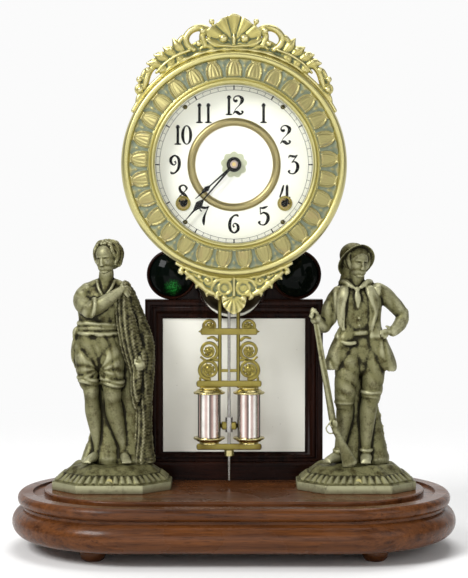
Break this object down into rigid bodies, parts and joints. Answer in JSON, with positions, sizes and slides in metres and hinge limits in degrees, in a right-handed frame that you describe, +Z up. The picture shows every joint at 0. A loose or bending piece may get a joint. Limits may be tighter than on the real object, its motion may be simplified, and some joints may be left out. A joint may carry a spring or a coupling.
{
  "type": "figural mantel clock",
  "caption": "Mantel clock with a round brass-bezel dial above a mirror-backed twin-vial pendulum, flanked by cast figures on an oval moulded wooden base.",
  "frame": {"origin": "on the surface it stands on, under the middle of the oval base", "axes": "+X to the right of someone facing the dial, +Y towards the back, +Z up"},
  "size_m": [0.354, 0.191, 0.4195],
  "materials": {
    "mahogany": "French-polished reddish mahogany with dark grain and worn edges",
    "mirror": "old silvered plate glass, lightly hazed",
    "green_glass": "dark green pressed glass with a polished dome",
    "bronzed_spelter": "cast white metal with an olive bronze patina worn pale on the high places",
    "gilt_brass": "gilt stamped brass with green patina in the hollows",
    "movement_brass": "rolled clock brass, dulled",
    "steel": "plain drawn steel",
    "pendulum_brass": "lacquered brass, browned",
    "polished_vial": "bright polished tube",
    "nickel_bell": "nickel-plated bell metal",
    "dial_white": "glazed white dial with black numbers",
    "black_hands": "blued black steel",
    "clear_glass": "clear flat glass"
  },
  "bodies": {
    "case": {"base_moulding": "mahogany", "base_platform": "mahogany", "bun_feet": "mahogany", "frame_plinth": "mahogany", "mirror_frame": "mahogany", "mirror_glass": "mirror", "back_board": "mahogany", "roundel_rings": "mahogany", "roundel_jewels": "green_glass", "fisher_plinth": "bronzed_spelter", "fisher_figure": "bronzed_spelter", "fisher_net": "bronzed_spelter", "hunter_plinth": "bronzed_spelter", "hunter_figure": "bronzed_spelter", "hunter_gun": "bronzed_spelter", "plinth_screws": "gilt_brass", "movement_drum": "movement_brass", "hinge_pin": "steel", "dial_pan": "movement_brass", "dial_chapter": "dial_white", "dial_centre": "dial_white", "dial_ring": "gilt_brass", "dial_rivets": "gilt_brass", "winding_grommets": "gilt_brass", "front_plate": "movement_brass", "back_plate": "movement_brass", "plate_pillars": "movement_brass", "drum_standoffs": "movement_brass", "mainsprings": "steel", "suspension_post": "movement_brass", "bell": "nickel_bell", "bell_post": "steel"},
    "bezel_door": {"bezel_ring": "gilt_brass", "egg_ring": "gilt_brass", "bezel_glass": "clear_glass", "crest": "gilt_brass", "pendant": "gilt_brass"},
    "minute_arbor": {"centre_wheel": "movement_brass", "minute_hand": "black_hands", "hand_nut": "black_hands"},
    "hour_pipe": {"hour_wheel": "movement_brass", "hour_hand": "black_hands"},
    "minute_wheel": {"minute_wheel": "movement_brass"},
    "time_great": {"time_great_wheel": "movement_brass"},
    "time_winding": {"time_winding_arbor": "steel"},
    "second_arbor": {"second_wheel": "movement_brass"},
    "third_arbor": {"third_wheel": "movement_brass"},
    "escape_arbor": {"escape_wheel": "movement_brass"},
    "verge": {"verge_crutch": "steel"},
    "pendulum": {"suspension_spring": "steel", "pendulum_rod": "steel"},
    "bob": {"pendulum_frame": "pendulum_brass", "vial_tubes": "polished_vial", "vial_caps": "pendulum_brass"},
    "rating_nut": {"rating_nut": "pendulum_brass"},
    "strike_great": {"strike_great_wheel": "movement_brass"},
    "strike_winding": {"strike_winding_arbor": "steel"},
    "pin_wheel_arbor": {"strike_pin_wheel": "movement_brass"},
    "fly_arbor": {"strike_fly": "movement_brass"},
    "hammer": {"hammer": "steel"}
  },
  "joints": [
    {"name": "bezel_hinge", "type": "hinge", "parent": "case", "child": "bezel_door", "pos_m": [0.084, -0.025, 0.303], "axis": [0, 0, 1], "range_deg": [0, 95]},
    {"name": "minute_turn", "type": "hinge", "parent": "case", "child": "minute_arbor", "pos_m": [0, 0, 0.303], "axis": [0, 1, 0], "continuous": true},
    {"name": "hour_turn", "type": "hinge", "parent": "case", "child": "hour_pipe", "pos_m": [0, 0, 0.303], "axis": [0, 1, 0], "continuous": true},
    {"name": "minute_wheel_turn", "type": "hinge", "parent": "case", "child": "minute_wheel", "pos_m": [0, 0, 0.291], "axis": [0, 1, 0], "continuous": true},
    {"name": "time_great_turn", "type": "hinge", "parent": "case", "child": "time_great", "pos_m": [0.0395, 0, 0.273], "axis": [0, 1, 0], "continuous": true},
    {"name": "time_winding_turn", "type": "hinge", "parent": "time_great", "child": "time_winding", "pos_m": [0.0395, 0, 0.273], "axis": [0, 1, 0], "continuous": true},
    {"name": "second_turn", "type": "hinge", "parent": "case", "child": "second_arbor", "pos_m": [0.01675, 0, 0.29435], "axis": [0, 1, 0], "continuous": true},
    {"name": "third_turn", "type": "hinge", "parent": "case", "child": "third_arbor", "pos_m": [0.00562, 0, 0.3201], "axis": [0, 1, 0], "continuous": true},
    {"name": "escape_turn", "type": "hinge", "parent": "case", "child": "escape_arbor", "pos_m": [-0.004, 0, 0.332], "axis": [0, 1, 0], "continuous": true},
    {"name": "pendulum_swing", "type": "hinge", "parent": "case", "child": "pendulum", "pos_m": [-0.004, 0, 0.349], "axis": [0, 1, 0], "range_deg": [-3, 3]},
    {"name": "verge_rock", "type": "hinge", "parent": "case", "child": "verge", "pos_m": [-0.004, 0, 0.349], "axis": [0, 1, 0], "range_deg": [-3, 3]},
    {"name": "bob_slide", "type": "slide", "parent": "pendulum", "child": "bob", "axis": [0, 0, 1], "range_m": [-0.0015, 0.0015]},
    {"name": "rating_nut_turn", "type": "hinge", "parent": "bob", "child": "rating_nut", "pos_m": [-0.004, 0.006, 0.073], "axis": [0, 0, 1], "range_deg": [-675.1, 675.1]},
    {"name": "strike_great_turn", "type": "hinge", "parent": "case", "child": "strike_great", "pos_m": [-0.0395, 0, 0.273], "axis": [0, 1, 0], "continuous": true},
    {"name": "strike_winding_turn", "type": "hinge", "parent": "strike_great", "child": "strike_winding", "pos_m": [-0.0395, 0, 0.273], "axis": [0, 1, 0], "continuous": true},
    {"name": "pin_wheel_turn", "type": "hinge", "parent": "case", "child": "pin_wheel_arbor", "pos_m": [-0.01675, 0, 0.29435], "axis": [0, 1, 0], "continuous": true},
    {"name": "fly_turn", "type": "hinge", "parent": "case", "child": "fly_arbor", "pos_m": [-0.0239, 0, 0.30673], "axis": [0, 1, 0], "continuous": true},
    {"name": "hammer_lift", "type": "hinge", "parent": "case", "child": "hammer", "pos_m": [-0.008, 0, 0.263], "axis": [0, 1, 0], "range_deg": [-2, 10], "stiffness_Nm_per_rad": 0.02}
  ],
  "couplings": [
    {"joint": "hour_turn", "follows": "minute_turn", "ratio": 0.083333},
    {"joint": "minute_wheel_turn", "follows": "minute_turn", "ratio": -0.33333},
    {"joint": "second_turn", "follows": "minute_turn", "ratio": -0.31818},
    {"joint": "time_great_turn", "follows": "minute_turn", "ratio": 0.069602},
    {"joint": "third_turn", "follows": "minute_turn", "ratio": -8},
    {"joint": "escape_turn", "follows": "minute_turn", "ratio": 60},
    {"joint": "verge_rock", "follows": "pendulum_swing", "ratio": 1},
    {"joint": "rating_nut_turn", "follows": "bob_slide", "rad_per_m": 7854},
    {"joint": "pin_wheel_turn", "follows": "strike_great_turn", "ratio": -4.5714},
    {"joint": "fly_turn", "follows": "strike_great_turn", "ratio": 20.571}
  ]
}
